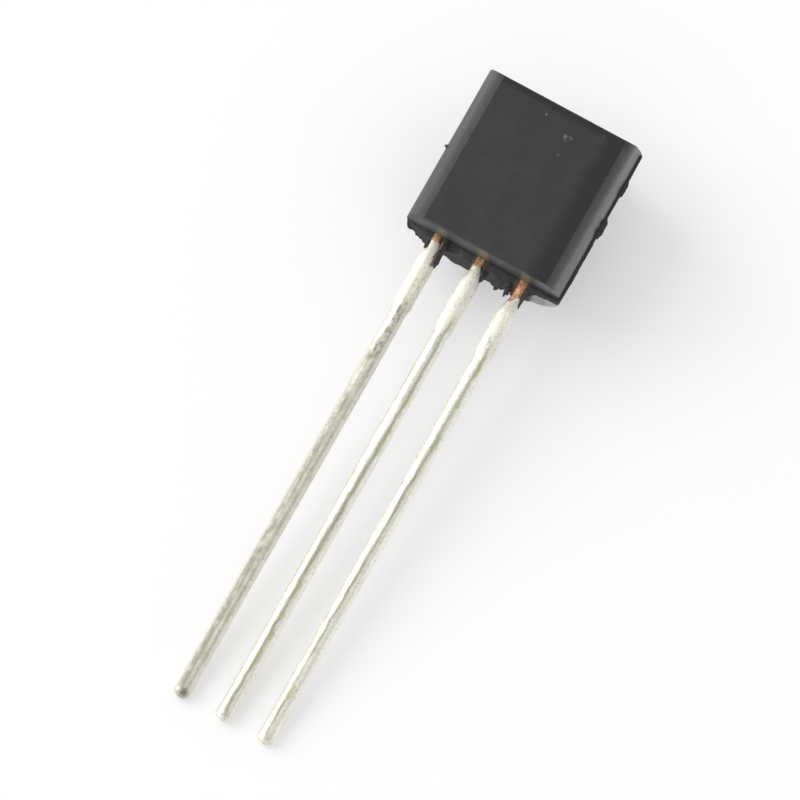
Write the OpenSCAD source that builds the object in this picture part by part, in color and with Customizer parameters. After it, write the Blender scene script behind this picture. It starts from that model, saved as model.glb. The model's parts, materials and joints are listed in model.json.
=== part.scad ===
// Three-lead voltage reference chip: a moulded body with a flat front and a
// round back, over a stamped lead frame that carries the silicon die.
//
// The chip is drawn upright: X runs across the leads, Y from the flat front to
// the round back, Z up from the lead end of the body. The parting plane of the
// mould, which is the lead frame's middle plane, is Y = 0.
// laid_down() then puts it on the bench, flat face up, the way it comes to
// rest: on the lower edge of its back and on its three lead tips.

/* [Moulded body] */
// Width of the body across the parting plane
body_w = 4.6; // [4.3:0.05:5]
// Width of the flat front face
flat_w = 3.7; // [3.2:0.02:3.8]
// Height of the flat front face
flat_h = 4.45; // [4.2:0.01:5]
// Depth of the front half, from the parting plane to the flat face
front_d = 1.25; // [1.15:0.05:1.4]
// Width of the inner, shallower band of each front bevel
bevel_w = 0.2; // [0.1:0.02:0.24]
// Depth of the inner, shallower band of each front bevel
bevel_d = 0.3; // [0.2:0.05:0.5]
// Depth of the straight side behind the parting plane
side_d = 0.1; // [0.05:0.05:0.4]
// Radius on the edges of the flat face and of the back
edge_r = 0.05; // [0.02:0.01:0.08]
// How far the ends of the body fall away from the parting plane at the top
top_draft = 0.22; // [0.02:0.01:0.25]
// The same at the lead end
lead_end_draft = 0.01; // [0:0.01:0.05]
// Slope of both ends of the front half across the width, in degrees
front_slope = 0.9; // [0:0.1:1.5]
// The same for the back half
back_slope = 0.3; // [0:0.1:1.5]

/* [Moulding faults] */
// Sideways mismatch of the back half of the mould
mismatch_x = 0.05; // [0:0.01:0.14]
// Downward mismatch of the back half of the mould
mismatch_z = 0.11; // [0:0.01:0.15]
// Thickness of the flash that was squeezed out at the parting plane
flash_t = 0.12; // [0.06:0.02:0.2]
// Diameter of the ejector pin mark on the back
pin_mark_d = 1.6; // [1:0.1:2]
// Depth of the ejector pin mark
pin_mark_deep = 0.14; // [0.05:0.01:0.2]

/* [Leads] */
// Distance from one lead to the next
pitch = 1.27; // [1.24:0.01:1.3]
// Length of the leads, from the body to their tips
lead_l = 14.25; // [12:0.05:16]
// Width of a tinned lead
lead_w = 0.46; // [0.42:0.01:0.5]
// Thickness of a tinned lead
lead_t = 0.42; // [0.4:0.01:0.46]
// Diameter that rounds off the corners of the tinned section
lead_round_d = 0.56; // [0.54:0.01:0.6]
// Width of the shoulder where the tie bar was cut away
shoulder_w = 0.5; // [0.5:0.01:0.53]
// Distance from the body to the lower end of the shoulder
shoulder_l = 2.15; // [1.6:0.05:2.4]
// Radius of the solder at the tips and at the upper end of the tin
tin_end_r = 0.3; // [0.3:0.01:0.34]
// Width of the bare copper neck under the body
neck_w = 0.28; // [0.24:0.02:0.34]
// Length of the bare copper neck of each lead, from left to right
neck_l = [0.2, 0.24, 0.5];

/* [Lead frame] */
// Thickness of the copper sheet
frame_t = 0.38; // [0.34:0.01:0.4]
// Width of the strips inside the body
strip_w = 0.4; // [0.36:0.02:0.44]
// Width of the barbs that lock the strips in the moulding
barb_w = 0.64; // [0.5:0.02:0.7]
// Height of the barbs
barb_h = 0.25; // [0.15:0.05:0.35]
// Height of the barbs above the lead end
barb_z = 0.6; // [0.4:0.05:0.7]
// Width of the bond posts on the outer leads
post_w = 0.64; // [0.5:0.02:0.7]
// Height of the bond posts
post_h = 0.9; // [0.7:0.05:1]
// Height of the posts above the lead end
post_z = 1.9; // [1.7:0.05:2]
// Clearance between the die paddle and the posts
post_gap = 0.26; // [0.2:0.02:0.3]
// Width of the die paddle on the centre lead
paddle_w = 1.5; // [1.4:0.02:1.6]
// Height of the die paddle
paddle_h = 1.7; // [1.6:0.05:1.8]
// Height of the paddle above the lead end
paddle_z = 1.5; // [1.4:0.05:1.6]

/* [Die and wires] */
// Width and height of the silicon die
die_w = 1; // [0.8:0.05:1.1]
// Thickness of the silicon die
die_t = 0.25; // [0.2:0.01:0.28]
// Thickness of the solder or glue under the die
attach_t = 0.03; // [0.02:0.01:0.05]
// How far the die attach spreads past the die
attach_rim = 0.05; // [0.03:0.01:0.08]
// Distance from the paddle's top edge to the die
die_inset = 0.2; // [0.15:0.01:0.25]
// Diameter of the bond wires
wire_d = 0.04; // [0.03:0.01:0.05]
// Diameter of the ball and stitch bonds at the ends of a wire
bond_d = 0.1; // [0.08:0.01:0.12]
// Thickness of the ball and stitch bonds
bond_t = 0.03; // [0.02:0.005:0.04]
// Distance from the edge of the die to the bond pads on it
pad_inset = 0.15; // [0.1:0.01:0.2]
// Radius of the bend in which a wire leaves its ball bond
wire_bend_r = 0.12; // [0.08:0.01:0.15]

/* [Hidden] */
$fn = 64;

// Larger than any size of the chip, for cutting blocks
far = 20;
// Segments on a rounded corner of an outline
corner_steps = 6;

// Outside width of the band of a bevel that runs down to the parting plane
side_band_w = (body_w - flat_w) / 2 - bevel_w;
// Height of the body at the parting plane
body_h = lead_end_draft + flat_h + top_draft;
// Radius of the round back
back_r = body_w / 2;
// Depth of the back half, from the parting plane to the back's furthest line
back_d = side_d + back_r;

// Flash between and beside the leads: distance from the centre line and how
// far it hangs below the lead end
flash_edge = [
    [-2.25, 0.05], [-1.9, 0.12], [-1.5, 0.25], [-1.25, 0.5], [-1.1, 0.84],
    [-0.98, 0.82], [-0.93, 0.3], [-0.6, 0.2], [-0.3, 0.25], [0.18, 0.4],
    [0.24, 0.57], [0.3, 0.52], [0.36, 0.22], [0.56, 0.26], [0.64, 0.56],
    [0.74, 0.57], [0.82, 0.25], [0.98, 0.3], [1.1, 0.5], [1.45, 0.68],
    [1.54, 0.72], [1.58, 0.3], [1.75, 0.15], [2, 0.12], [2.25, 0.03]
];
// Flash up the right side: height above the lead end and how far it stands
// out from the back half
side_flash = [
    [0, 0.03], [0.7, 0.06], [1.2, 0.04], [1.8, 0.05], [1.82, 0.01],
    [1.9, 0.01], [1.94, 0.08], [2.2, 0.1], [2.45, 0.09], [2.55, 0.03],
    [3.25, 0.03], [3.3, 0.08], [3.65, 0.08], [3.75, 0.03], [4.3, 0.01]
];
// Nib of flash on the left side: height of its tip, how far it stands out and
// half its height
nib_z = 2.2;
nib_out = 0.07;
nib_half = 0.07;
// How far the flash reaches into the body, so that the two are one piece
flash_root = 0.2;

// Length of the taper below the shoulder of a lead
taper_l = 0.25;
// Lower end of the leads
tip_z = -lead_l;

// Middle of the posts, which lie level with the paddle
post_x = paddle_w / 2 + post_gap + post_w / 2;
// Front faces of the lead frame and of the die
frame_y = -frame_t / 2;
attach_y = frame_y - attach_t;
die_y = attach_y - die_t;
// Middle of the die
die_z = paddle_z + paddle_h - die_inset - die_w / 2;
// Bond pads on the die and landing places on the lead frame
side_pad = [die_w / 2 - pad_inset, die_z - die_w / 4];
post_land = [post_x, post_z + post_h / 2];
ground_pad = [0, die_z - die_w / 2 + pad_inset];
ground_land = [0, paddle_z + (ground_pad[1] - pad_inset - paddle_z) / 2 - attach_rim / 2];

// The chip rests on the rounded lower edge of its back and on the place at
// each tip where the back of the lead meets the rounding of the solder
toe = [lead_t / 2, tip_z + tin_end_r - sqrt(tin_end_r * tin_end_r - lead_t * lead_t / 4)];
heel = [back_d - edge_r, lead_end_draft - mismatch_z + edge_r];
rest_tilt = atan((heel[0] - toe[0]) / (heel[1] - toe[1])) + asin(edge_r / norm(heel - toe));
floor_z = toe[1] * sin(rest_tilt) - toe[0] * cos(rest_tilt);
// Ends of the laid chip along the bench
front_end = tip_z * cos(rest_tilt);
rear_end = max(
    body_h * cos(rest_tilt),
    (body_h - top_draft - mismatch_z) * cos(rest_tilt) + back_d * sin(rest_tilt)
);

function unit(v) = v / norm(v);

// Points of an arc of radius r that rounds the corner p between a and b
function rounded(a, p, b, r) =
    let (
        u = unit(a - p),
        v = unit(b - p),
        half = acos(u * v) / 2,
        centre = p + unit(u + v) * r / sin(half),
        start = p + u * r / tan(half) - centre,
        end = p + v * r / tan(half) - centre
    )
    [for (i = [0:corner_steps])
        centre + r * unit(start * (corner_steps - i) + end * i)];

// Lays the upright chip on the bench, with its lowest points at Z = 0
module laid_down() {
    translate([0, -(front_end + rear_end) / 2, -floor_z])
        rotate([rest_tilt - 90, 0, 0])
            children();
}

// Turns an outline drawn in X and Z into a sheet on the parting plane
module sheet(thickness) {
    rotate([90, 0, 0])
        linear_extrude(thickness, center = true)
            children();
}

// Turns a profile drawn in Y and Z into a bar across the body, at a slope
module across(slope) {
    rotate([0, -slope, 0])
        rotate([90, 0, 90])
            linear_extrude(far, center = true)
                children();
}

// Front half of the mould: flat face, two bevels of two bands each
module front_half() {
    side = [body_w / 2, 0];
    knee = [body_w / 2 - side_band_w, bevel_d - front_d];
    corner = [flat_w / 2, -front_d];
    middle = [0, -front_d];
    right = concat([side, knee], rounded(knee, corner, middle, edge_r));
    left = [for (i = [len(right) - 1:-1:0]) [-right[i][0], right[i][1]]];
    low = [-front_d, lead_end_draft];
    high = [-front_d, body_h - top_draft];
    intersection() {
        translate([0, 0, -far / 2])
            linear_extrude(far)
                polygon(concat(right, left));
        across(front_slope)
            polygon(concat(
                [[0, 0]],
                rounded([0, 0], low, high, edge_r),
                rounded(low, high, [0, body_h], edge_r),
                [[0, body_h]]
            ));
    }
}

// Back half of the mould: short straight sides and a half-round back
module back_half() {
    low = [back_d, lead_end_draft];
    high = [back_d, body_h - top_draft];
    translate([mismatch_x, 0, -mismatch_z])
        intersection() {
            translate([0, 0, -far / 2])
                linear_extrude(far) {
                    translate([-back_r, 0])
                        square([body_w, side_d]);
                    translate([0, side_d])
                        intersection() {
                            circle(r = back_r, $fn = 180);
                            translate([-far / 2, 0])
                                square([far, far / 2]);
                        }
                }
            across(back_slope)
                polygon(concat(
                    rounded([0, 0], low, high, edge_r),
                    rounded(low, high, [0, body_h], edge_r),
                    [[0, body_h], [0, 0]]
                ));
        }
}

// Thin flash along the parting plane, its lists stretched to fit the body
module flash() {
    edge_x = body_w / 2 - edge_r;
    side_x = body_w / 2 + mismatch_x;
    side_top = body_h - top_draft - mismatch_z;
    wider = edge_x / flash_edge[len(flash_edge) - 1][0];
    taller = side_top / side_flash[len(side_flash) - 1][0];
    sheet(flash_t) {
        polygon(concat(
            [[-edge_x, flash_root]],
            [for (p = flash_edge) [p[0] * wider, -p[1]]],
            [[edge_x, flash_root]]
        ));
        polygon(concat(
            [[side_x - flash_root, 0]],
            [for (p = side_flash) [side_x + p[1], p[0] * taller]],
            [[side_x - flash_root, side_top]]
        ));
        polygon([
            [flash_root - body_w / 2, nib_z - nib_half],
            [-body_w / 2 - nib_out, nib_z],
            [flash_root - body_w / 2, nib_z + nib_half]
        ]);
    }
}

module moulded_body() {
    color([0.24, 0.24, 0.25])
        difference() {
            union() {
                front_half();
                back_half();
                flash();
            }
            translate([mismatch_x, back_d - pin_mark_deep, body_h / 2 - mismatch_z])
                rotate([-90, 0, 0])
                    cylinder(d = pin_mark_d, h = far / 4);
            lead(-1);
            lead(0);
            lead(1);
            attach_layer();
            die();
            bond_wire(mirrored(side_pad), mirrored(post_land), die_y, frame_y);
            bond_wire(side_pad, post_land, die_y, frame_y);
            bond_wire(ground_pad, ground_land, die_y, frame_y);
        }
}

function mirrored(p) = [-p[0], p[1]];

// Tinned part of a lead, up to the height given: shoulder, taper and rounded
// ends
module tinned_lead(tin_top) {
    low_taper = -shoulder_l - taper_l;
    right = [
        [shoulder_w / 2, tin_top],
        [shoulder_w / 2, -shoulder_l],
        [lead_w / 2, low_taper],
        [lead_w / 2, tip_z]
    ];
    left = [for (i = [len(right) - 1:-1:0]) mirrored(right[i])];
    intersection() {
        sheet(lead_t)
            polygon(concat(right, left));
        translate([0, 0, tip_z])
            cylinder(d = lead_round_d, h = lead_l);
        union() {
            translate([0, 0, tin_top - tin_end_r])
                sphere(r = tin_end_r);
            translate([0, 0, tip_z + tin_end_r])
                cylinder(r = 2 * tin_end_r, h = tin_top - tip_z - 2 * tin_end_r);
            translate([0, 0, tip_z + tin_end_r])
                sphere(r = tin_end_r);
        }
    }
}

// Copper neck that runs from the full section of the tin into the body
module neck(tin_top) {
    low = tin_top - tin_end_r;
    translate([-neck_w / 2, low])
        square([neck_w, barb_z - low]);
}

// Strip with its two barbs, up to the height given
module strip(top) {
    translate([-strip_w / 2, 0])
        square([strip_w, top]);
    translate([-barb_w / 2, barb_z])
        square([barb_w, barb_h]);
}

// One lead of the frame: side is -1, 0 or 1, counted from left to right
module lead(side) {
    overlap = 0.1;
    tin_top = -neck_l[side + 1];
    translate([side * pitch, 0, 0]) {
        tinned_lead(tin_top);
        sheet(frame_t)
            neck(tin_top);
    }
    sheet(frame_t) {
        translate([side * pitch, 0])
            strip((side == 0 ? paddle_z : post_z) + overlap);
        if (side == 0)
            translate([-paddle_w / 2, paddle_z])
                square([paddle_w, paddle_h]);
        else
            translate([side * post_x - post_w / 2, post_z])
                square([post_w, post_h]);
    }
}

// Thin layer that holds the die to the paddle
module attach_layer() {
    w = die_w + 2 * attach_rim;
    translate([-w / 2, attach_y, die_z - w / 2])
        cube([w, attach_t, w]);
}

module die() {
    translate([-die_w / 2, die_y, die_z - die_w / 2])
        cube([die_w, die_t, die_w]);
}

// Wire from a pad on the die to a landing place on the frame. Both places are
// given in X and Z, the two faces by their Y. In its own plane the wire rises
// from the ball, bends over and runs straight down to the stitch.
module bond_wire(pad, land, pad_y, land_y) {
    reach = norm(land - pad);
    bend_h = bond_t / 2;
    step = land_y - pad_y;
    drop = step + bend_h - wire_d / 2;
    away = norm([reach - wire_bend_r, drop]);
    fall = atan(drop / (reach - wire_bend_r)) + asin(wire_bend_r / away);
    run = sqrt(away * away - wire_bend_r * wire_bend_r);
    translate([pad[0], pad_y, pad[1]])
        rotate([90, 0, 0])
            rotate([0, 0, atan2(land[1] - pad[1], land[0] - pad[0])]) {
                cylinder(d = bond_d, h = bond_t);
                translate([wire_bend_r, 0, bend_h])
                    rotate([90, 0, 0])
                        rotate([0, 0, 90 - fall])
                            rotate_extrude(angle = 90 + fall)
                                translate([wire_bend_r, 0])
                                    circle(d = wire_d);
                translate([wire_bend_r, 0, bend_h])
                    rotate([0, 90 + fall, 0])
                        translate([-wire_bend_r, 0, 0])
                            cylinder(d = wire_d, h = run);
                translate([reach, 0, -step])
                    cylinder(d = bond_d, h = bond_t);
            }
}

module left_lead() {
    color("silver")
        lead(-1);
}

module centre_lead() {
    color("silver")
        lead(0);
}

module right_lead() {
    color("silver")
        lead(1);
}

module die_attach() {
    color("gray")
        attach_layer();
}

module silicon_die() {
    color("slategray")
        die();
}

module left_bond_wire() {
    color("gold")
        bond_wire(mirrored(side_pad), mirrored(post_land), die_y, frame_y);
}

module right_bond_wire() {
    color("gold")
        bond_wire(side_pad, post_land, die_y, frame_y);
}

module ground_bond_wire() {
    color("gold")
        bond_wire(ground_pad, ground_land, die_y, frame_y);
}

laid_down() moulded_body();
laid_down() left_lead();
laid_down() centre_lead();
laid_down() right_lead();
laid_down() die_attach();
laid_down() silicon_die();
laid_down() left_bond_wire();
laid_down() right_bond_wire();
laid_down() ground_bond_wire();
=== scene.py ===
import json
import math

import bmesh
import bpy
from mathutils import Matrix, Vector, noise


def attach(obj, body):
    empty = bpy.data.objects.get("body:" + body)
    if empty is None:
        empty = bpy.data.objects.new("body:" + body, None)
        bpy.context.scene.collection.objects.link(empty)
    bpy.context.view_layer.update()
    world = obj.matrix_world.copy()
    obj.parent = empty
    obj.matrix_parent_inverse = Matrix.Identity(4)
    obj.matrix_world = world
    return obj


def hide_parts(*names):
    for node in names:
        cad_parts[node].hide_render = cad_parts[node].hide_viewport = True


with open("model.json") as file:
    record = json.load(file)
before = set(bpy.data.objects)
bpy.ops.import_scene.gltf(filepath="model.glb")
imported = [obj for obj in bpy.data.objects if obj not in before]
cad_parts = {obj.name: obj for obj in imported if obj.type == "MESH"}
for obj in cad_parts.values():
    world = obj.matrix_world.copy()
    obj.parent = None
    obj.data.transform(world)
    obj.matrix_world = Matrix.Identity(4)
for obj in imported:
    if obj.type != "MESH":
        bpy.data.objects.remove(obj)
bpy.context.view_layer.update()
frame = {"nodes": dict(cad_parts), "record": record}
mm = 0.001
print("frame loaded,", len(frame["nodes"]), "nodes")

# The chip is drawn upright, in millimetres: x across the leads, y from the flat
# front to the round back, z up from the lead end of the body. layDown carries
# that drawing to the place where the chip lies.
chip = {
    "leadLength": 14.25,
    "leadPitch": 1.27,
    "leadEndMount": "centre_lead_end",
}
mounts = {m["name"]: m for m in frame["record"]["mounts"]}
leadEnd = mounts[chip["leadEndMount"]]
upAxis = -Vector(leadEnd["axis"]).normalized()
sideAxis = Vector((1, 0, 0))
backAxis = upAxis.cross(sideAxis)
layDown = Matrix((sideAxis, backAxis, upAxis)).transposed().to_4x4()
layDown.translation = Vector(leadEnd["pos_m"]) + upAxis * chip["leadLength"] * mm
standUp = layDown.inverted()


class Field:
    # one socket of a node tree, so that maths on it reads as maths
    def __init__(self, desk, socket):
        self.desk = desk
        self.socket = socket

    def __add__(self, other):
        return self.desk.maths("ADD", self, other)

    def __radd__(self, other):
        return self.desk.maths("ADD", other, self)

    def __sub__(self, other):
        return self.desk.maths("SUBTRACT", self, other)

    def __rsub__(self, other):
        return self.desk.maths("SUBTRACT", other, self)

    def __mul__(self, other):
        return self.desk.maths("MULTIPLY", self, other)

    def __rmul__(self, other):
        return self.desk.maths("MULTIPLY", other, self)

    def __truediv__(self, other):
        return self.desk.maths("DIVIDE", self, other)

    def __rtruediv__(self, other):
        return self.desk.maths("DIVIDE", other, self)

    def __pow__(self, other):
        return self.desk.maths("POWER", self, other)

    def __neg__(self):
        return self.desk.maths("MULTIPLY", self, -1.0)


class Desk:
    # one node tree and the ways to put nodes in it
    def __init__(self, tree):
        self.tree = tree

    def node(self, kind, settings=None, sockets=None, out=0):
        made = self.tree.nodes.new(kind)
        for key, value in (settings or {}).items():
            setattr(made, key, value)
        for key, value in (sockets or {}).items():
            if isinstance(value, Field):
                self.tree.links.new(value.socket, made.inputs[key])
            else:
                made.inputs[key].default_value = value
        return Field(self, made.outputs[out]) if len(made.outputs) else made

    def maths(self, operation, *values):
        return self.node("ShaderNodeMath", {"operation": operation}, dict(enumerate(values)))

    def least(self, a, b):
        return self.maths("MINIMUM", a, b)

    def most(self, a, b):
        return self.maths("MAXIMUM", a, b)

    def size(self, a):
        return self.maths("ABSOLUTE", a)

    def distance(self, a, b):
        return self.maths("SQRT", a * a + b * b)

    def split(self, vector):
        first = self.node("ShaderNodeSeparateXYZ", sockets={0: vector})
        return [Field(self, out) for out in first.socket.node.outputs]

    def join(self, x, y, z):
        return self.node("ShaderNodeCombineXYZ", sockets={0: x, 1: y, 2: z})

    def ease(self, value, start, end, low=0.0, high=1.0):
        # goes smoothly from low at start to high at end, whichever is larger
        fixed = isinstance(start, (int, float)) and isinstance(end, (int, float))
        if fixed and start > end:
            start, end, low, high = end, start, high, low
        return self.node(
            "ShaderNodeMapRange",
            {"interpolation_type": "SMOOTHSTEP"},
            {0: value, 1: start, 2: end, 3: low, 4: high},
        )

    def blend(self, factor, a, b, how="MIX"):
        # inputs 6 and 7 and output 2 are the mix node's colours
        settings = {"data_type": "RGBA", "blend_type": how}
        rgba = [(*c, 1.0) if isinstance(c, tuple) else c for c in (a, b)]
        return self.node("ShaderNodeMix", settings, {0: factor, 6: rgba[0], 7: rgba[1]}, out=2)

    def stretch(self, vector, by):
        return self.node("ShaderNodeVectorMath", {"operation": "MULTIPLY"}, {0: vector, 1: by})

    def cloud(self, vector, scale, detail=2.0, rough=0.5, seed=0.0):
        return self.node(
            "ShaderNodeTexNoise",
            {"noise_dimensions": "4D"},
            {"Vector": vector, "W": seed, "Scale": scale, "Detail": detail, "Roughness": rough},
        )

    def cells(self, vector, scale, out="Distance"):
        return self.node("ShaderNodeTexVoronoi", {}, {"Vector": vector, "Scale": scale}, out)


class Finish(Desk):
    # a material whose pattern is drawn on the upright chip, in millimetres
    def __init__(self, name):
        self.material = bpy.data.materials.new(name)
        self.material.use_nodes = True
        super().__init__(self.material.node_tree)
        self.tree.nodes.clear()
        self.place = self.node("ShaderNodeMapping", {}, {
            "Vector": self.node("ShaderNodeTexCoord", out="Object"),
            "Location": standUp.translation / mm,
            "Rotation": standUp.to_euler(),
            "Scale": (1 / mm, 1 / mm, 1 / mm),
        })
        self.x, self.y, self.z = self.split(self.place)

    def bumps(self, *layers):
        # each layer is a pattern and its height in micrometres
        normal = None
        for height, depth in layers:
            sockets = {"Height": height, "Distance": depth * 1e-6, "Strength": 1.0}
            if normal is not None:
                sockets["Normal"] = normal
            normal = self.node("ShaderNodeBump", {}, sockets)
        return normal

    def close(self, **sockets):
        named = {key.replace("_", " "): value for key, value in sockets.items()}
        skin = self.node("ShaderNodeBsdfPrincipled", {}, named)
        self.node("ShaderNodeOutputMaterial", {}, {"Surface": skin})
        return self.material


def newObject(name, data):
    made = bpy.data.objects.new(name, data)
    bpy.context.scene.collection.objects.link(made)
    return made


def settled(obj):
    # the object with its modifiers applied, as a plain mesh
    graph = bpy.context.evaluated_depsgraph_get()
    mesh = bpy.data.meshes.new_from_object(obj.evaluated_get(graph), depsgraph=graph)
    obj.modifiers.clear()
    obj.data = mesh
    return obj


def fromBmesh(name, bm):
    bmesh.ops.recalc_face_normals(bm, faces=bm.faces)
    mesh = bpy.data.meshes.new(name)
    bm.to_mesh(mesh)
    bm.free()
    return newObject(name, mesh)


def walls(bm, low, high):
    # a band of faces between two rings of vertices
    count = len(low)
    for i in range(count):
        k = (i + 1) % count
        bm.faces.new((low[i], low[k], high[k], high[i]))


def combine(base, others, operation):
    for other in others:
        cut = base.modifiers.new("cut", "BOOLEAN")
        cut.operation = operation
        cut.solver = "MANIFOLD"
        cut.object = other
        settled(base)
        bpy.data.objects.remove(other)
    return base


def largestPart(obj):
    # drops the slivers of shell that joining leaves loose
    bm = bmesh.new()
    bm.from_mesh(obj.data)
    left = set(bm.verts)
    parts = []
    while left:
        part, front = set(), [left.pop()]
        while front:
            vert = front.pop()
            part.add(vert)
            near = {edge.other_vert(vert) for edge in vert.link_edges} & left
            left -= near
            front += near
        parts.append(part)
    parts.sort(key=len)
    bmesh.ops.delete(bm, geom=[v for part in parts[:-1] for v in part], context="VERTS")
    bm.to_mesh(obj.data)
    bm.free()


def smoothBelow(obj, degrees):
    # smooth shading, with edges sharper than the angle kept crisp
    mesh = obj.data
    for face in mesh.polygons:
        face.use_smooth = True
    bm = bmesh.new()
    bm.from_mesh(mesh)
    limit = math.radians(degrees)
    for edge in bm.edges:
        edge.smooth = len(edge.link_faces) == 2 and edge.calc_face_angle(0) < limit
    bm.to_mesh(mesh)
    bm.free()


def wear(obj, finish):
    # the finish on every face, whatever the joined pieces brought along
    materials = obj.data.materials
    materials.clear()
    materials.append(finish)
    for face in obj.data.polygons:
        face.material_index = 0


def putDown(obj):
    # from the upright drawing in millimetres to the chip's place
    obj.data.transform(layDown @ Matrix.Diagonal((mm, mm, mm, 1)))
    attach(obj, "root")


moulding = {
    "width": 4.655,
    "flatWidth": 3.7,
    "flatHeight": 4.45,
    "frontDepth": 1.25,
    "overlap": 0.012,               # how far the front half reaches into the back half
    "sideTop": (0.18, 0.72),        # end of the straight side: in from the side, forward
    "kneeAt": (0.26, 1.04),         # pulls the curve between the side and the flat
    "kneeSteps": 10,
    "sideDepth": 0.072,             # straight part of the back half's side
    "topDraft": 0.22,
    "leadEndDraft": 0.01,
    "frontSlope": 0.9,              # how far each half's ends lean, in degrees
    "backSlope": 0.3,
    "shiftX": 0.05,                 # mismatch of the back half
    "shiftZ": 0.11,
    "edgeRound": 0.07,
    "edgeSteps": 4,
    "rightCornerDrop": (0.2, 0.075),    # width and depth of the worn corner
    "backSteps": 150,
    "rimBite": 0.11,
    "rimBiteEnd": (1.75, 0.4),      # x past which the rim is whole, and the fade before it
    "rimInset": 0.16,
    "pinMark": (1.6, 0.14),         # width and depth of the ejector pin's mark
    "pinDraft": 0.12,
    "pinHeight": 0.8,
    "sharpFrom": 32,                # degrees at which an edge stays crisp
    "flashThick": 0.12,
    "flashThin": 0.035,
    "flashRows": 12,
    # flash below the body: place across, how far it hangs
    "flashBelow": [
        (-2.25, 0.05), (-1.9, 0.12), (-1.5, 0.25), (-1.25, 0.45), (-1.14, 0.6),
        (-1.04, 0.52), (-0.96, 0.3), (-0.6, 0.2), (-0.3, 0.25), (0.18, 0.4),
        (0.24, 0.57), (0.3, 0.52), (0.36, 0.22), (0.56, 0.26), (0.64, 0.56),
        (0.74, 0.57), (0.82, 0.25), (0.98, 0.3), (1.1, 0.5), (1.4, 0.42),
        (1.45, 0.68), (1.49, 0.72), (1.52, 0.32), (1.62, 0.2), (1.75, 0.15),
        (2.0, 0.12), (2.25, 0.03),
    ],
    # flash up the right side: height, how far it stands out
    "flashRight": [
        (0, 0.0), (0.7, 0.02), (1.2, 0.01), (1.8, 0.015), (1.88, -0.02),
        (1.96, -0.02), (2.02, 0.05), (2.25, 0.085), (2.5, 0.075), (2.62, 0.0),
        (3.25, -0.01), (3.35, 0.05), (3.65, 0.055), (3.8, 0.01), (4.3, 0.0),
    ],
    # nib on the left side, in the same way
    "flashLeft": [(2.13, -0.01), (2.17, 0.03), (2.2, 0.07), (2.23, 0.04), (2.27, -0.01)],
    "tearing": [(4.0, 0.6), (9.0, 0.5), (21.0, 0.2)],   # waves a millimetre, strength
    "tearingMost": 0.06,
    # resin left beside the leads: middle, half sizes, seed
    "lumps": [
        ((-1.08, -0.12, -0.46), (0.115, 0.16, 0.4), 3.0),
        ((-1.47, -0.02, -0.36), (0.07, 0.1, 0.14), 9.0),
        ((0.985, -0.04, -0.4), (0.07, 0.12, 0.2), 15.0),
        ((0.22, -0.06, -0.42), (0.06, 0.1, 0.14), 21.0),
    ],
    "look": {
        "dark": (0.0188, 0.0180, 0.0212),
        "pale": (0.0262, 0.0252, 0.0294),
        # painted shade, for the back half's end and for the flat's top and right side
        "shade": (0.002, 0.002, 0.002),
        "flash": (0.030, 0.030, 0.028),
        "crumb": (0.075, 0.075, 0.068),
        "dust": (0.20, 0.20, 0.205),
        "endTone": (0.042, 0.042, 0.044),
        "smear": (0.15, 0.10, 0.065),
        "smearEdge": (0.115, 0.12, 0.07),
        "smearBrown": (0.125, 0.085, 0.05),
        "roughness": 0.34,
        "patchAt": (1.5, 1.65),     # x where the glossy patch of the lower end begins
        # pale specks on the flat face: x, z, radius, strength
        "specks": [
            (-0.371, 4.062, 0.055, 0.7), (0.369, 3.789, 0.07, 0.9),
            (0.519, 3.815, 0.06, 0.7), (0.41, 3.68, 0.04, 0.5),
            (0.448, 3.247, 0.05, 0.55), (1.247, 4.296, 0.05, 0.5),
            (1.766, 3.258, 0.045, 0.6), (1.588, 2.929, 0.04, 0.6),
            (0.002, 4.40, 0.035, 0.4), (-2.09, 2.44, 0.035, 0.5),
            (0.12, 3.76, 0.03, 0.4),
        ],
    },
}
bodyHeight = moulding["leadEndDraft"] + moulding["flatHeight"] + moulding["topDraft"]


def endHeights(x, y, depth, slope):
    # lower and upper end of the moulding over a point of its outline
    m = moulding
    rise = x * math.tan(math.radians(slope))
    share = abs(y) / depth
    return m["leadEndDraft"] * share + rise, bodyHeight - m["topDraft"] * share + rise


def upright(edge):
    a, b = (v.co for v in edge.verts)
    return abs(a.x - b.x) + abs(a.y - b.y) < 1e-4


def frontOutline():
    # right half of the outline: straight side, curved knee, flat face
    m = moulding
    half, deep = m["width"] / 2, m["frontDepth"]
    start = Vector((half - m["sideTop"][0], -m["sideTop"][1]))
    knee = Vector((half - m["kneeAt"][0], -m["kneeAt"][1]))
    end = Vector((m["flatWidth"] / 2, -deep))
    points = [(half, m["overlap"])]
    for i in range(m["kneeSteps"] + 1):
        t = i / m["kneeSteps"]
        spot = start * (1 - t) ** 2 + knee * 2 * t * (1 - t) + end * t ** 2
        points.append(tuple(spot))
    return points


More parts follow.
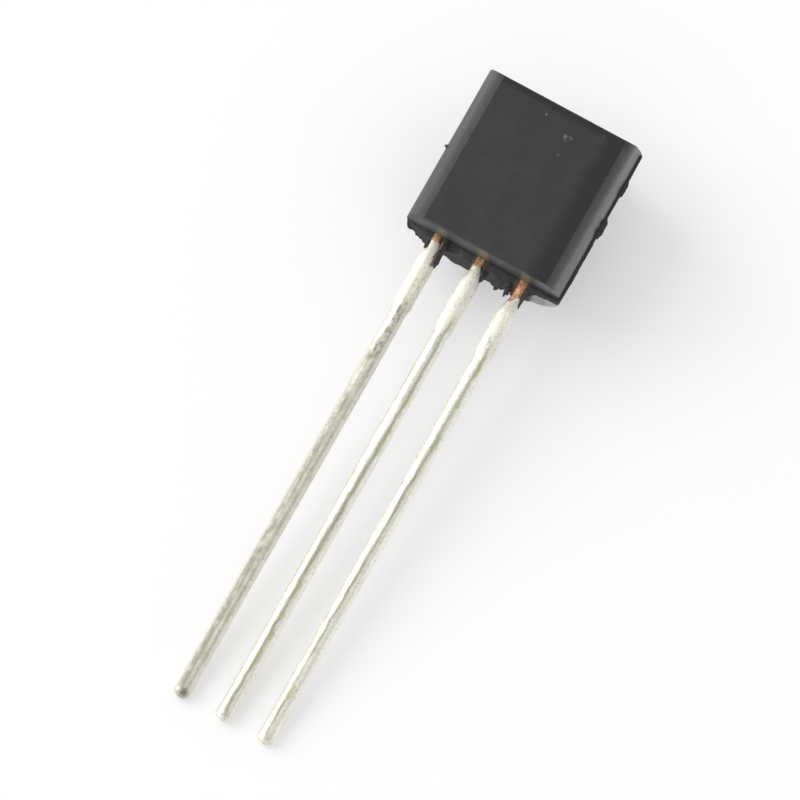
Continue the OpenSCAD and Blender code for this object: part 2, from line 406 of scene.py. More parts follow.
def frontHalf():
    m = moulding
    right = frontOutline()
    outline = right + [(-x, y) for x, y in reversed(right)]
    bm = bmesh.new()
    low, high = [], []
    for x, y in outline:
        lower, upper = endHeights(x, y, m["frontDepth"], m["frontSlope"])
        low.append(bm.verts.new((x, y, lower)))
        high.append(bm.verts.new((x, y, upper)))
    walls(bm, low, high)
    caps = [bm.faces.new(low), bm.faces.new(high)]
    # the mould is worn at its upper right corner
    reach, fall = m["rightCornerDrop"]
    for v in high:
        v.co.z -= fall * max(0.0, (v.co.x - m["width"] / 2 + reach) / reach) ** 2
    # the ends are rounded all round, apart from the parting plane
    rims = [e for e in bm.edges if not upright(e) and min(v.co.y for v in e.verts) < 0
            and any(face in caps for face in e.link_faces)]
    bmesh.ops.bevel(bm, geom=rims, offset=m["edgeRound"], segments=m["edgeSteps"],
                    profile=0.5, affect="EDGES", clamp_overlap=True)
    return fromBmesh("frontHalf", bm)


def rimBite(x, y):
    # how deep the lower rim broke off where the flash was torn away
    m = moulding
    bite = noise.noise((x * 2.6, y * 2.6, 2.0)) - 0.1
    bite += 0.45 * noise.noise((x * 6.5, y * 6.5, 7.0))
    end, fade = m["rimBiteEnd"]
    most = m["rimBite"] * min(1.0, max(0.0, (end - x) / fade)) * min(1.0, y / m["sideDepth"])
    return most * max(-0.3, bite)


def backHalf():
    m = moulding
    half, side, soft = m["width"] / 2, m["sideDepth"], m["edgeRound"]
    outline = [(half, 0.0)]
    for i in range(m["backSteps"] + 1):
        turn = math.pi * i / m["backSteps"]
        outline.append((half * math.cos(turn), side + half * math.sin(turn)))
    outline.append((-half, 0.0))
    bm = bmesh.new()

    def ring(inset, lift, atTop, broken):
        spots = []
        shrink = 1.0 - inset / half
        for x, y in outline:
            bite = rimBite(x, y) if broken else 0.0
            x *= shrink
            y = min(y, side) + max(0.0, y - side) * shrink
            lower, upper = endHeights(x, y, side + half, m["backSlope"])
            z = upper - lift if atTop else lower + lift + bite
            spots.append(bm.verts.new((x + m["shiftX"], y, z - m["shiftZ"])))
        return spots

    turns = [math.pi / 2 * i / m["edgeSteps"] for i in range(m["edgeSteps"] + 1)]
    curve = [(soft * (1 - math.cos(t)), soft * (1 - math.sin(t))) for t in turns]
    rings = [ring(m["rimInset"], 0.0, False, False)]
    rings += [ring(inset, lift, False, True) for inset, lift in reversed(curve)]
    rings += [ring(inset, lift, True, False) for inset, lift in curve]
    for low, high in zip(rings, rings[1:]):
        walls(bm, low, high)
    bm.faces.new(rings[0])
    bm.faces.new(rings[-1])
    return fromBmesh("backHalf", bm)


def pinMark():
    m = moulding
    across, deep = m["pinMark"]
    floorY = m["sideDepth"] + m["width"] / 2 - deep
    bm = bmesh.new()
    bmesh.ops.create_cone(bm, cap_ends=True, segments=64, radius1=across / 2,
                          radius2=across / 2 + m["pinDraft"], depth=m["pinHeight"])
    turn = Matrix.Rotation(math.radians(-90), 4, "X")
    middle = (m["shiftX"], floorY + m["pinHeight"] / 2, bodyHeight / 2 - m["shiftZ"])
    bm.transform(Matrix.Translation(middle) @ turn)
    return fromBmesh("pinMark", bm)


def ragged(points, place):
    # height of the ragged line over a place, with fine tearing added
    for (a, high), (b, higher) in zip(points, points[1:]):
        if a <= place <= b:
            line = high + (higher - high) * (place - a) / (b - a)
            tear = sum(strength * noise.noise((place * wave, wave, 0.0))
                       for wave, strength in moulding["tearing"])
            return line + tear * min(moulding["tearingMost"], abs(line) * 0.5 + 0.004)
    return 0.0


def curtain(name, columns, root, sink, corner):
    # thin torn sheet: root is its depth in the body, sink moves it back, and
    # corner turns a place and a distance outward into x and z
    m = moulding
    points, rows = m[name], m["flashRows"]
    bm = bmesh.new()
    sheets = []
    first, last = points[0][0], points[-1][0]
    for side in (-1, 1):
        grid = []
        for i in range(columns + 1):
            place = first + (last - first) * i / columns
            reach = ragged(points, place)
            line = []
            for j in range(rows + 1):
                share = j / rows
                out = -root + (reach + root) * share
                thick = m["flashThick"] + (m["flashThin"] - m["flashThick"]) * share ** 2
                wave = 0.03 * share * noise.noise((place * 4.0, share * 2.0, 5.0))
                wave += 0.012 * share * noise.noise((place * 15.0, share * 7.0, side))
                x, z = corner(place, out)
                line.append(bm.verts.new((x, sink + side * thick / 2 + wave, z)))
            grid.append(line)
        sheets.append(grid)
    near, away = sheets
    for i in range(columns):
        for j in range(rows):
            for g in sheets:
                bm.faces.new((g[i][j], g[i + 1][j], g[i + 1][j + 1], g[i][j + 1]))
        for j in (0, rows):
            bm.faces.new((near[i][j], near[i + 1][j], away[i + 1][j], away[i][j]))
    for i in (0, columns):
        for j in range(rows):
            bm.faces.new((near[i][j], near[i][j + 1], away[i][j + 1], away[i][j]))
    return fromBmesh(name, bm)


def lump(middle, halves, seed):
    bm = bmesh.new()
    bmesh.ops.create_icosphere(bm, subdivisions=4, radius=1.0)
    for v in bm.verts:
        swell = 1.0 + 0.6 * noise.noise(v.co * 1.7 + Vector((seed, 0, 0)))
        swell += 0.3 * noise.noise(v.co * 4.5 + Vector((0, seed, 0)))
        v.co = Vector(middle) + Vector(h * c * swell for h, c in zip(halves, v.co))
    return fromBmesh("lump", bm)


def mouldingFinish():
    look = moulding["look"]
    patchStart, patchFull = look["patchAt"]
    f = Finish("mouldedEpoxy")
    broad = f.cloud(f.place, 0.9, 3.0, 0.55, seed=1.0)
    patchy = f.cloud(f.place, 4.5, 4.0, 0.6, seed=2.0)
    filler = f.cloud(f.place, 36.0, 3.0, 0.65, seed=3.0)
    crumbs = f.cloud(f.place, 7.5, 4.0, 0.7, seed=6.0)
    # places on the body: the flat, the flash, the lower end of both halves
    onFlat = f.ease(f.y, -1.0, -1.15)
    torn = f.ease(f.size(f.y), 0.16, 0.07) * f.ease(f.z, 0.03, -0.05)
    frontEnd = f.ease(f.z, 0.07, 0.0) * f.ease(f.y, -0.02, -0.08)
    backEnd = f.ease(f.z, 0.03, -0.03) * f.ease(f.y, 0.05, 0.12)
    colour = f.blend(f.ease(broad * 0.6 + patchy * 0.4, 0.38, 0.62), look["dark"], look["pale"])
    # pale filler grains
    grain = f.ease(f.cells(f.place, 15.0), 0.14, 0.03)
    pick = f.ease(f.cloud(f.place, 7.0, 2.0, 0.6, seed=5.0), 0.55, 0.62)
    colour = f.blend(grain * pick * 0.22, colour, look["dust"])
    # specks of dust on the flat
    speckle = f.cloud(f.place, 19.0, 3.0, 0.65, seed=8.0)
    dusty = 0.0
    for atX, atZ, radius, strength in look["specks"]:
        away = f.distance(f.x - atX, f.z - atZ) + (speckle - 0.5) * radius * 3.0
        dusty = dusty + f.ease(away, radius * 1.1, 0.0) * strength
    colour = f.blend(f.least(dusty, 1.0) * onFlat * 0.8, colour, look["dust"])
    # the flash is torn, rough and crumbly, and painted shade darkens the back half's end
    rubble = f.blend(f.ease(crumbs, 0.46, 0.68), look["flash"], look["crumb"])
    colour = f.blend(torn, colour, rubble)
    shaded = backEnd * f.ease(f.x, patchFull, patchStart) * 0.8
    colour = f.blend(shaded, colour, look["shade"])
    # copper and flux smeared over the lower end around the leads
    nearLead = 9.0
    for step in (-1, 0, 1):
        nearLead = f.least(nearLead, f.size(f.x - step * chip["leadPitch"]))
    smudge = nearLead + (f.cloud(f.place, 12.0, 3.0, 0.65, seed=7.0) - 0.5) * 0.14
    onEnd = f.ease(f.z, 0.12, 0.0) * f.ease(f.y, -1.28, -1.05) * f.ease(f.y, 0.4, 0.15)
    colour = f.blend(frontEnd, colour, look["endTone"])
    edging = f.ease(smudge, 0.2, 0.08) * onEnd * 0.8
    colour = f.blend(edging, colour, look["smearEdge"])
    core = f.ease(smudge, 0.1, 0.03) * f.ease(f.y, -0.9, -0.5) * onEnd * 0.8
    colour = f.blend(core, colour, look["smear"])
    brown = f.ease(smudge, 0.23, 0.14) * f.ease(f.y, -0.5, -0.1) * onEnd * 0.7
    colour = f.blend(brown, colour, look["smearBrown"])
    # painted shade: the top of the flat and its right side are painted darker
    drift = f.x + (broad - 0.5) * 0.5 + (patchy - 0.5) * 0.25
    rightShade = f.ease(drift, 1.1, 1.6) * f.ease(f.x, 1.95, 1.8)
    shade = f.most(f.ease(f.z, 4.18, 4.36), rightShade)
    colour = f.blend(shade * onFlat * 0.8, colour, look["shade"])
    # the sides and the lower end took their polish unevenly from the mould
    besidePatch = f.ease(f.x + (crumbs - 0.5) * 0.4, patchFull, patchStart)
    rough = look["roughness"] + torn * 0.3 + frontEnd * 0.26
    rough = rough + f.ease(f.x, -1.95, -2.15) * 0.12 - f.ease(f.x, 1.95, 2.15) * 0.1
    rough = rough + backEnd * (besidePatch * 0.51 - 0.06)
    rough = rough + (patchy - 0.5) * 0.1 + (filler - 0.5) * 0.1
    broken = crumbs * f.least(torn + backEnd * besidePatch, 1.0)
    normal = f.bumps((broad, 9.0), (patchy, 2.2), (filler, 1.0), (broken, 35.0))
    return f.close(Base_Color=colour, Roughness=rough, Normal=normal, IOR=1.5)


def mouldedBody():
    m = moulding
    rightEdge = m["width"] / 2 + m["shiftX"]
    leftEdge = m["width"] / 2
    flash = [
        curtain("flashBelow", columns=260, root=0.15, sink=0.0,
                corner=lambda a, out: (a, -out)),
        curtain("flashRight", columns=200, root=0.12, sink=0.055,
                corner=lambda a, out: (rightEdge + out, a)),
        curtain("flashLeft", columns=16, root=0.12, sink=0.0,
                corner=lambda a, out: (-leftEdge - out, a)),
    ]
    back = combine(backHalf(), [pinMark()], "DIFFERENCE")
    lumps = [lump(*row) for row in m["lumps"]]
    body = combine(back, [frontHalf()] + flash + lumps, "UNION")
    body.name = "mouldedBody"
    largestPart(body)
    wear(body, mouldingFinish())
    smoothBelow(body, m["sharpFrom"])
    return body


body = mouldedBody()
putDown(body)
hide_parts("moulded_body")
print("moulded body,", len(body.data.polygons), "faces")


tinnedLead = {
    "sideways": 0.012,
    "around": 44,
    "taper": 0.25,
    "cutAt": 0.02,                  # height above which the stamped frame is kept
    "mergeWithin": 0.0005,
    "sharpFrom": 40,
    # the tin coat, a hanging bar
    "coat": {
        "Width": 0.46, "Thickness": 0.42, "Shoulder Width": 0.53, "Shoulder End": 2.15,
        "Shoulder Lean": 0.012, "Waist": 0.012, "Squareness": 2.25, "Top Round": 0.6,
        "Top Narrowing": 0.62, "Top Thinning": 0.4, "Tip Round": 0.17, "Lump": 0.028,
        "Along": 420,
    },
    # the bare copper neck between the coat and the body
    "neck": {
        "Top": 0.12, "Width": 0.25, "Thickness": 0.29, "Shoulder Width": 0.25,
        "Shoulder End": 0.05, "Squareness": 2.6, "Top Round": 0.05, "Top Narrowing": 0.5,
        "Top Thinning": 0.5, "Tip Round": 0.05, "Tip Bead": 0.0, "Lump": 0.03, "Along": 60,
    },
    "neckInCoat": 0.4,
    "look": {
        "bright": (0.92, 0.91, 0.815),
        "frost": (0.91, 0.905, 0.815),
        "lime": (0.56, 0.57, 0.33),
        # the right flank's tone, painted shade
        "pale": (0.85, 0.84, 0.755),
        # painted shade for a dull lead, in tan and in darker tan
        "tan": (0.57, 0.555, 0.475),
        "tanDark": (0.37, 0.36, 0.30),
        "olive": (0.27, 0.265, 0.165),
        # dark stains, and painted shade on the right side of the tip drop
        "sootAndShade": (0.20, 0.20, 0.165),
        # painted shade that dims the lower leads' highlight
        "highlightShade": (0.72, 0.715, 0.63),
        "copper": (0.74, 0.43, 0.28),
        "copperDark": (0.42, 0.25, 0.145),
        "copperPale": (0.90, 0.66, 0.46),
        # residue on the copper, and painted shade on the neck's sides
        "fluxAndShade": (0.27, 0.205, 0.11),
        "resin": (0.03, 0.03, 0.027),
        "dropAt": (0.05, 0.13),     # the grey drop: right of the middle, above the tip
    },
    # each lead: step from the middle, top of the coat, seed of its waves, bead at
    # the tip and neckAt, the neck's place across. Then its finish: tinTop, where
    # the copper ends; dullShade, how much painted tan shade it has; stain, the heights of its
    # dark mottling;
    # lean, how far the copper runs down the left side; flankAt, where the paler
    # right flank (its tone is painted shade) begins at the shoulder and at the tip;
    # sootAndShade, how grey the tip drop is, partly grey solder and partly painted shade
    "leads": {
        "leftLead": dict(
            node="left_lead", step=-1, coatTop=-0.2, seed=3.0, bead=0.004, neckAt=-0.06,
            tinTop=-0.22, dullShade=0.85, stain=(-2.05, -3.9), lean=0.0,
            flankAt=(0.1, 0.1), sootAndShade=0.92),
        "centreLead": dict(
            node="centre_lead", step=0, coatTop=-0.24, seed=11.0, bead=0.006, neckAt=-0.035,
            tinTop=-0.28, dullShade=0.0, stain=(-2.2, -2.6), lean=0.0,
            flankAt=(0.1, 0.015), sootAndShade=0.3),
        "rightLead": dict(
            node="right_lead", step=1, coatTop=-0.5, seed=23.0, bead=0.008, neckAt=0.005,
            tinTop=-0.46, dullShade=0.0, stain=(-1.7, -2.0), lean=0.18,
            flankAt=(0.06, -0.03), sootAndShade=0.3),
    },
}


def barTree():
    # a dipped bar hanging from Top to Bottom, rounded at both ends
    tree = bpy.data.node_groups.new("dippedBar", "GeometryNodeTree")
    sizes = [
        "Top", "Bottom", "Width", "Thickness", "Shoulder Width", "Shoulder End",
        "Shoulder Lean", "Waist", "Taper", "Squareness", "Top Round", "Top Narrowing",
        "Top Thinning", "Tip Round", "Tip Bead", "Lump", "Side", "Seed",
    ]
    inputs = [(name, "NodeSocketFloat") for name in sizes]
    inputs += [("Around", "NodeSocketInt"), ("Along", "NodeSocketInt")]
    inputs += [("Finish", "NodeSocketMaterial")]
    for name, kind in inputs:
        tree.interface.new_socket(name, in_out="INPUT", socket_type=kind)
    tree.interface.new_socket("Geometry", in_out="OUTPUT", socket_type="NodeSocketGeometry")
    d = Desk(tree)
    inlet = tree.nodes.new("NodeGroupInput")
    given = {s.name: Field(d, s) for s in inlet.outputs if s.name}
    top, bottom, seed = given["Top"], given["Bottom"], given["Seed"]
    tube = d.node("GeometryNodeMeshCylinder", {"fill_type": "TRIANGLE_FAN"}, {
        "Vertices": given["Around"], "Side Segments": given["Along"],
        "Radius": 1.0, "Depth": 1.0})
    ux, uy, uz = d.split(d.node("GeometryNodeInputPosition"))
    # closer rings near both ends
    share = 0.5 - 0.5 * d.maths("SINE", uz * math.pi)
    z = top - share * (top - bottom)
    power = given["Squareness"]
    spread = d.size(ux) ** power + d.size(uy) ** power
    square = 1.0 / d.most(spread, 0.0001) ** (1.0 / power)
    # the middle of an end cap stays in the middle
    rim = d.least(ux * ux + uy * uy, 1.0)
    square = square * d.ease(rim, 0.0, 0.5)
    shoulder = -given["Shoulder End"]
    taperEnd = shoulder - given["Taper"]
    width = d.ease(z, taperEnd, shoulder, given["Width"], given["Shoulder Width"])
    fromTop = d.least((top - z) / given["Top Round"], 1.0)
    fromTip = d.least((z - bottom) / given["Tip Round"], 1.0)
    fall = (1.0 - fromTop) ** 1.7
    topCapX = 1.0 - fall * given["Top Narrowing"]
    topCapY = 1.0 - fall * given["Top Thinning"]
    tipCap = d.maths("SQRT", d.most(1.0 - (1.0 - fromTip) ** 2.0, 0.12))
    bead = d.ease(z, bottom + 0.45, bottom + 0.2) * given["Tip Bead"]
    # the coat ran down before it set: long waves and small lumps
    runs = d.cloud(d.join(ux, uy, z * 0.55), 1.1, 3.0, 0.6, seed=seed)
    lumps = d.cloud(d.join(ux, uy, z * 2.2), 1.6, 2.0, 0.5, seed=seed + 7.0)
    swell = ((runs - 0.5) * 1.6 + (lumps - 0.5) * 0.8) * given["Lump"] + bead
    # thinner just under the shoulder, which stands out more to the left
    swell = swell - d.ease(d.size(z - shoulder + given["Taper"]), 0.3, 0.0) * given["Waist"]
    lean = d.ease(z, taperEnd, shoulder + 0.5) * given["Shoulder Lean"]
    lean = lean * d.ease(z, -0.5, -1.0)
    x = ux * square * (width / 2.0 + swell) * topCapX * tipCap + given["Side"] - lean
    y = uy * square * (given["Thickness"] / 2.0 + swell) * topCapY * tipCap
    spot, coat = d.join(x, y, z), given["Finish"]
    moved = d.node("GeometryNodeSetPosition", {}, {"Geometry": tube, "Position": spot})
    soft = d.node("GeometryNodeSetShadeSmooth", {}, {"Geometry": moved, "Shade Smooth": True})
    real = d.node("GeometryNodeRealizeInstances", {}, {"Geometry": soft})
    dressed = d.node("GeometryNodeSetMaterial", {}, {"Geometry": real, "Material": coat})
    outlet = tree.nodes.new("NodeGroupOutput")
    tree.links.new(dressed.socket, outlet.inputs[0])
    return tree


def grown(name, tree, values):
    # a plain mesh from a tree, its inputs set by identifier
    obj = newObject(name, bpy.data.meshes.new(name))
    grow = obj.modifiers.new("grow", "NODES")
    grow.node_group = tree
    for item in tree.interface.items_tree:
        if item.in_out == "INPUT" and item.name in values:
            grow[item.identifier] = values[item.name]
    return settled(obj)


def innerFrame(node):
    # the part of a lead inside the body, copied and closed at the cut
    bm = bmesh.new()
    bm.from_mesh(frame["nodes"][node].data)
    bm.transform(Matrix.Diagonal((1 / mm, 1 / mm, 1 / mm, 1)) @ standUp)
    bmesh.ops.remove_doubles(bm, verts=bm.verts, dist=tinnedLead["mergeWithin"])
    geom = bm.verts[:] + bm.edges[:] + bm.faces[:]
    cut = bmesh.ops.bisect_plane(bm, geom=geom, plane_co=(0, 0, tinnedLead["cutAt"]),
                                 plane_no=(0, 0, 1), clear_inner=True)
    rim = [e for e in cut["geom_cut"] if isinstance(e, bmesh.types.BMEdge)]
    bmesh.ops.edgeloop_fill(bm, edges=rim)
    return fromBmesh("inner", bm)


def leadFinish(name, lead):
    look = tinnedLead["look"]
    side = lead["step"] * chip["leadPitch"]
    dullShade = lead["dullShade"]
    f = Finish(name + "Tin")
    x = f.x - side
    alongLead = f.stretch(f.place, (0.0, 0.0, 1.0))
    streak = f.cloud(f.stretch(f.place, (1.0, 1.0, 0.16)), 7.0, 4.0, 0.6, seed=side + 11.0)
    mottle = f.cloud(f.stretch(f.place, (1.0, 1.0, 0.6)), 4.2, 5.0, 0.66, seed=side + 12.0)
    fine = f.cloud(f.place, 19.0, 3.0, 0.6, seed=side + 13.0)
    wander = f.cloud(alongLead, 1.3, 3.0, 0.6, seed=side + 14.0)
    below = f.ease(f.z, -1.5, -2.3)             # below the shoulder
    aboveTip = f.ease(f.z, -14.08, -13.96)      # fades at the grey drop
    # a rougher strip down the right flank, with an irregular edge; its tone is painted shade
    flankTop, flankTip = lead["flankAt"]
    edge = f.ease(f.z, -12.5, -2.5, flankTip, flankTop)
    edge = edge + (wander - 0.5) * 0.1 + (mottle - 0.5) * 0.08
    tin = f.blend(f.ease(f.z, -2.1, -1.6), look["bright"], look["frost"])
    # painted shade dims the bright band on the left of the lower lead, where the highlight
    # falls
    dimmedHighlight = f.ease(f.z, -5.0, -8.0) * f.ease(x, -0.2, -0.14) * f.ease(x, 0.03, -0.03)
    dimmedHighlight = dimmedHighlight * aboveTip
    tin = f.blend(dimmedHighlight * 0.85, tin, look["highlightShade"])
    flank = f.ease(x, edge - 0.01, edge + 0.04) * f.ease(f.z, -1.2, -2.2, 0.15, 1.0)
    colour = f.blend(flank, tin, look["pale"])
    # painted shade in tan on a dull lead, from a little below the shoulder over the whole width
    tanShade = dullShade * f.ease(f.z, -1.7, -2.5, 0.25, 1.0) * f.ease(mottle, 0.62, 0.42, 0.6, 1.0)
    reach = f.ease(f.z + (wander - 0.5) * 1.5, -2.6, -3.8, -0.06, -0.22)
    tanShade = tanShade * f.ease(x + (mottle - 0.5) * 0.1, reach, reach + 0.06)
    tanShade = tanShade * f.ease(x, 0.17, 0.11, 0.35, 1.0)
    colour = f.blend(tanShade, colour, look["tan"])
    # painted shade, darker tan, over the left band where the highlight falls
    leftShadeBand = f.ease(x, -0.17, -0.13) * f.ease(x, 0.03, -0.05) * aboveTip
    colour = f.blend(tanShade * leftShadeBand * 0.85, colour, look["tanDark"])
    # painted shade: the olive line where the flank begins, wider and darker toward the tip
    spread = f.ease(f.z, -8.0, -4.0, -0.11, -0.05)
    line = f.ease(x - edge, spread, 0.0) * f.ease(x - edge, 0.07, 0.02) * below * aboveTip
    line = line * f.ease(mottle, 0.36, 0.56, 0.8, 1.0) * f.ease(f.z, -7.0, -4.0, 0.66, 0.5)
    colour = f.blend(line * (1.0 - dullShade), colour, look["olive"])
    lime = f.ease(f.size(x - edge - 0.02), 0.12, 0.02) * f.ease(wander, 0.5, 0.6) * below
    colour = f.blend(lime * (1.0 - dullShade) * 0.6, colour, look["lime"])
    # freckles and streaks all over
    freckle = f.cloud(f.stretch(f.place, (1.0, 1.0, 0.75)), 15.0, 4.0, 0.7, seed=side + 17.0)
    colour = f.blend(f.ease(freckle, 0.52, 0.66) * 0.42, colour, look["olive"])
    colour = f.blend(f.ease(streak, 0.56, 0.74) * 0.3, colour, look["olive"])
    # dark stains, in blotches
    top, bottom = lead["stain"]
    inStain = f.ease(f.z, top + 0.1, top - 0.15) * f.ease(f.z, bottom - 0.6, bottom + 0.5)
    grime = f.cloud(f.stretch(f.place, (1.0, 1.0, 0.7)), 8.5, 4.0, 0.65, seed=side + 16.0)
    blotch = f.ease(grime, 0.46, 0.58) * f.ease(x, -0.1, -0.02) * f.ease(x, 0.17, 0.08)
    blotch = blotch * inStain
    colour = f.blend(blotch * 0.4, colour, look["sootAndShade"])
    # small pits all along
    pits = f.ease(f.cells(f.place, 9.0), 0.16, 0.05) * f.ease(fine, 0.47, 0.55)
    colour = f.blend(pits * 0.45, colour, look["olive"])
    # a grey drop of solder at the tip, with painted shade on its right side
    dropX, dropUp = look["dropAt"]
    fromDrop = f.distance(x - dropX, f.z + (chip["leadLength"] - dropUp))
    tipGreyAndShade = f.ease(fromDrop + (fine - 0.5) * 0.22, 0.22, 0.02) * f.ease(x, -0.13, 0.02)
    colour = f.blend(tipGreyAndShade * lead["sootAndShade"], colour, look["sootAndShade"])
    # bare copper above the ragged end of the tin, with flux residue on it
    raggedTop = lead["tinTop"] + (fine - 0.5) * 0.2 + (mottle - 0.5) * 0.2
    raggedTop = raggedTop - f.ease(x, 0.05, -0.06) * lead["lean"]
    bare = f.ease(f.z, raggedTop - 0.015, raggedTop + 0.015)
    scuffs = f.cloud(f.place, 9.0, 3.0, 0.65, seed=side + 15.0)
    copper = f.blend(f.ease(scuffs, 0.48, 0.6), look["copper"], look["copperDark"])
    copper = f.blend(f.ease(scuffs, 0.46, 0.38), copper, look["copperPale"])
    copper = f.blend(f.ease(streak, 0.5, 0.6) * 0.6, copper, look["fluxAndShade"])
    copper = f.blend(f.ease(f.z, -0.08, 0.02) * 0.6, copper, look["fluxAndShade"])
    # painted shade darkens the neck's sides in the flux colour
    besideNeck = f.size(x - lead["neckAt"] + (fine - 0.5) * 0.05)
    copper = f.blend(f.ease(besideNeck, 0.085, 0.125) * 0.85, copper, look["fluxAndShade"])
    colour = f.blend(bare, colour, copper)
    # a film of moulding resin at the root of the lead
    film = f.ease(f.z + (mottle - 0.5) * 0.2, -0.03, 0.03)
    colour = f.blend(film * 0.5, colour, look["resin"])
    # frosted solder at the shoulder, smoother tin below it
    rough = f.ease(f.z, -1.7, -2.6, 0.68, 0.3) + tanShade * 0.4 + blotch * 0.25
    rough = rough + flank * below * 0.22 + dimmedHighlight * 0.1
    rough = rough + (fine - 0.5) * 0.12 + (mottle - 0.5) * 0.12
    normal = f.bumps((mottle, 15.0), (streak, 4.0), (freckle, 3.5), (fine, 1.5))
    return f.close(Base_Color=colour, Metallic=1.0, Roughness=rough, Normal=normal)


def makeLead(name, lead, tree):
    s = tinnedLead
    side = lead["step"] * chip["leadPitch"]
    finish = leadFinish(name, lead)
    common = {"Around": s["around"], "Finish": finish, "Taper": s["taper"]}
    tin = grown("tin", tree, {
        **common, **s["coat"], "Side": side + s["sideways"], "Top": lead["coatTop"],
        "Bottom": -chip["leadLength"], "Tip Bead": lead["bead"], "Seed": lead["seed"]})
    neck = grown("neck", tree, {
        **common, **s["neck"], "Side": side + lead["neckAt"],
        "Bottom": lead["coatTop"] - s["neckInCoat"], "Seed": lead["seed"] + 3.0})
    made = combine(tin, [neck, innerFrame(lead["node"])], "UNION")
    made.name = name
    largestPart(made)
    wear(made, finish)
    smoothBelow(made, s["sharpFrom"])
    return made


dippedBar = barTree()
for name, row in tinnedLead["leads"].items():
    lead = makeLead(name, row, dippedBar)
    putDown(lead)
    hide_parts(row["node"])
    print(name, len(lead.data.polygons), "faces")


# The pieces sealed in the moulding keep their own meshes
siliconDie = {
    "fields": ((0.10, 0.12, 0.16, 1), (0.16, 0.14, 0.20, 1)),
    "tracks": (0.42, 0.40, 0.34, 1),
    "trackWidth": 0.03,
    "roughness": 0.22,
}
dieSolder = {
    "pale": (0.46, 0.46, 0.47),
    "dark": (0.30, 0.30, 0.31),
    "roughness": 0.3,
}
bondWire = {
    "pale": (0.95, 0.70, 0.26),
    "dark": (0.82, 0.55, 0.17),
    "roughness": 0.22,
}


def dieFinish():
    look = siliconDie
    f = Finish("polishedSilicon")
    blocks = f.cells(f.stretch(f.place, (1.0, 0.2, 1.0)), 7.0, out="Color")
    lines = f.node("ShaderNodeTexBrick", {}, {
        "Vector": f.place, "Scale": 6.0, "Mortar Size": look["trackWidth"],
        "Color1": look["fields"][0], "Color2": look["fields"][1], "Mortar": look["tracks"]})
    colour = f.blend(0.25, lines, blocks, "OVERLAY")
    return f.close(Base_Color=colour, Metallic=0.4, Roughness=look["roughness"])


def solderFinish():
    look = dieSolder
    f = Finish("dieSolder")
    clots = f.cloud(f.place, 12.0, 4.0, 0.6, seed=21.0)
    colour = f.blend(f.ease(clots, 0.4, 0.65), look["pale"], look["dark"])
    rough = look["roughness"] + clots * 0.3
    return f.close(Base_Color=colour, Metallic=1.0, Roughness=rough,
                   Normal=f.bumps((clots, 3.0)))


def wireFinish():
    look = bondWire
    f = Finish("goldWire")
    drawn = f.cloud(f.place, 30.0, 2.0, 0.5, seed=22.0)
    colour = f.blend(drawn, look["pale"], look["dark"])
    rough = look["roughness"] + drawn * 0.1
    return f.close(Base_Color=colour, Metallic=1.0, Roughness=rough,
                   Normal=f.bumps((drawn, 0.5)))


innerFinishes = {"silicon_die": dieFinish(), "die_attach": solderFinish()}
gold = wireFinish()
for node in ("left_bond_wire", "right_bond_wire", "ground_bond_wire"):
    innerFinishes[node] = gold
for node, finish in innerFinishes.items():
    data = frame["nodes"][node].data
    data.materials.clear()
    data.materials.append(finish)
print("inner pieces dressed")


cameraPlace = {
    "azimuth": 9.421,
    "elevation": 72.7,
    "roll": 20.237,
    "distance": 250.0,
    "lens": 422.05,
    "aim": (-0.0408, 0.2575, 2.0),
}


def setCamera():
    c = cameraPlace
    az, el, roll = (math.radians(c[turn]) for turn in ("azimuth", "elevation", "roll"))
    back = Vector((math.sin(az) * math.cos(el), -math.cos(az) * math.cos(el), math.sin(el)))
    right = Vector((0, 0, 1)).cross(back).normalized()
    up = back.cross(right)
    tiltedRight = right * math.cos(roll) + up * math.sin(roll)
    tiltedUp = up * math.cos(roll) - right * math.sin(roll)
    data = bpy.data.cameras.new("view")
    data.sensor_width = 36.0
    data.lens = c["lens"]
    data.clip_start = 0.005
    data.clip_end = 5.0
    camera = newObject("view", data)
    matrix = Matrix((tiltedRight, tiltedUp, back)).transposed().to_4x4()
    matrix.translation = (Vector(c["aim"]) + back * c["distance"]) * mm
    camera.matrix_world = matrix
    bpy.context.scene.camera = camera


studio = {
    "worldLeft": 0.80,
    "worldRight": 0.62,
    "worldTurn": (0.1, 0.75),
    "worldRim": 0.8,
    "rimHeight": (0.5, 0.15),
    "worldGap": 0.66,
    "gapLeft": (0.02, 0.24),
    "gapRight": (0.54, 0.38),
    "gapHeight": (0.1, 0.4),
    "keyPower": 0.42,
    "keySize": 0.22,
    "keyFrom": (-0.22, -0.02, 0.20),
    "keyAim": (0, 0.002, 0.002),
    "floorHalf": 1.5,
    "floorColour": (0.93, 0.93, 0.935),
    "floorLift": 0.30,
    "floorShineLift": 0.88,
}


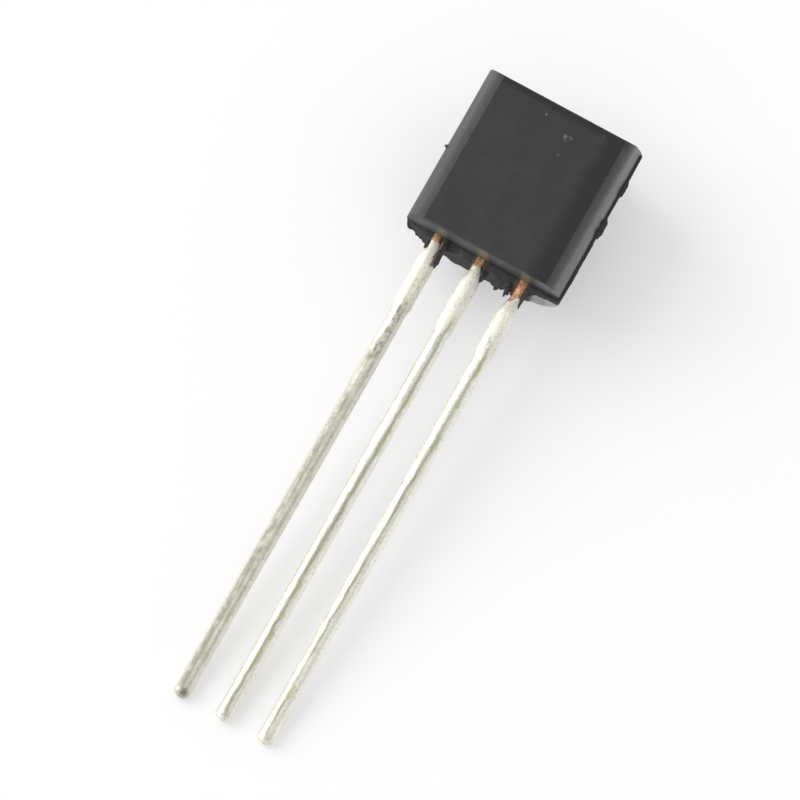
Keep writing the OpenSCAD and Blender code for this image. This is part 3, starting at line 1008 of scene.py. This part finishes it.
def setWorld():
    s = studio
    world = bpy.data.worlds.new("tent")
    world.use_nodes = True
    world.node_tree.nodes.clear()
    bpy.context.scene.world = world
    d = Desk(world.node_tree)
    x, _, z = d.split(d.node("ShaderNodeTexCoord", out="Generated"))
    # bright cloth all round, brightest low down, and a gap beside the camera
    level = d.ease(x, *s["worldTurn"], s["worldLeft"], s["worldRight"])
    level = level + d.ease(z, *s["rimHeight"]) * s["worldRim"]
    gap = d.ease(x, *s["gapLeft"]) * d.ease(x, *s["gapRight"]) * d.ease(z, *s["gapHeight"])
    level = level + (s["worldGap"] - level) * gap
    light = d.node("ShaderNodeBackground", {}, {"Color": (1, 1, 1, 1), "Strength": level})
    d.node("ShaderNodeOutputWorld", {}, {"Surface": light})


def setLamp():
    s = studio
    data = bpy.data.lights.new("keyLamp", "AREA")
    data.shape = "SQUARE"
    data.size = s["keySize"]
    data.energy = s["keyPower"]
    lamp = newObject("keyLamp", data)
    lamp.location = s["keyFrom"]
    ray = Vector(s["keyAim"]) - Vector(s["keyFrom"])
    lamp.rotation_euler = ray.to_track_quat("-Z", "Y").to_euler()


def setFloor():
    s = studio
    bm = bmesh.new()
    bmesh.ops.create_grid(bm, x_segments=1, y_segments=1, size=s["floorHalf"])
    floor = fromBmesh("floor", bm)
    material = bpy.data.materials.new("paperFloor")
    material.use_nodes = True
    material.node_tree.nodes.clear()
    d = Desk(material.node_tree)
    paper = d.node("ShaderNodeBsdfDiffuse", {}, {"Color": (*s["floorColour"], 1.0)})
    glow = d.node("ShaderNodeEmission", {}, {"Color": (1, 1, 1, 1), "Strength": 1.0})
    seen, shine, through = (d.node("ShaderNodeLightPath", out=f"Is {ray} Ray")
                            for ray in ("Camera", "Glossy", "Transmission"))
    share = d.most(seen * s["floorLift"], d.most(shine, through) * s["floorShineLift"])
    mixed = d.node("ShaderNodeMixShader", {}, {0: share, 1: paper, 2: glow})
    d.node("ShaderNodeOutputMaterial", {}, {"Surface": mixed})
    floor.data.materials.append(material)


setCamera()
setWorld()
setLamp()
setFloor()
bpy.context.scene.view_settings.view_transform = "Standard"
print("camera, light and floor set")
